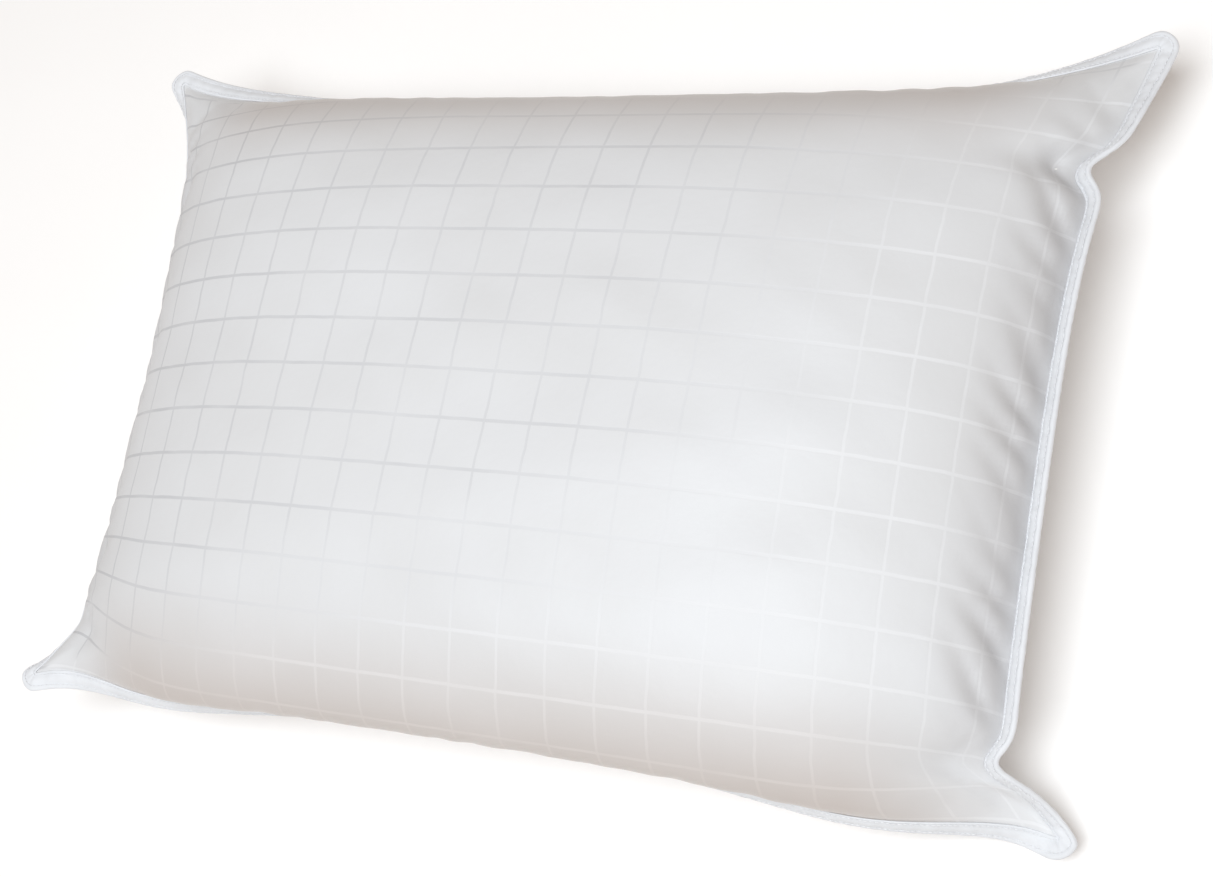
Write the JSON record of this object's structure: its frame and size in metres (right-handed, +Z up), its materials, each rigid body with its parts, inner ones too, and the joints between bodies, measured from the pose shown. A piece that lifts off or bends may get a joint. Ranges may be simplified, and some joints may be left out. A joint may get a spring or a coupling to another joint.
{
  "type": "bed pillow",
  "caption": "Filled rectangular bed pillow lying flat: two woven check panels, a bound and double-stitched edge with pointed corners, and a loose fill.",
  "frame": {"origin": "on the surface the pillow rests on, under the centre of its outline", "axes": "+X along the long side, +Y along the short side, +Z up out of the front panel"},
  "size_m": [0.6462, 0.493, 0.1478],
  "materials": {
    "cotton_panel": "white cotton, satin weave with a dull woven windowpane check",
    "cotton_tape": "plain white cotton tape, matt",
    "sewing_thread": "white polyester core thread",
    "filling": "loose off-white filling"
  },
  "bodies": {
    "root": {"front_panel": "cotton_panel", "back_panel": "cotton_panel", "edge_binding": "cotton_tape", "fill": "filling", "inner_row_needle_thread": "sewing_thread", "inner_row_bobbin_thread": "sewing_thread", "outer_row_needle_thread": "sewing_thread", "outer_row_bobbin_thread": "sewing_thread", "closing_inner_row_needle_thread": "sewing_thread", "closing_inner_row_bobbin_thread": "sewing_thread", "closing_outer_row_needle_thread": "sewing_thread", "closing_outer_row_bobbin_thread": "sewing_thread"}
  },
  "joints": []
}
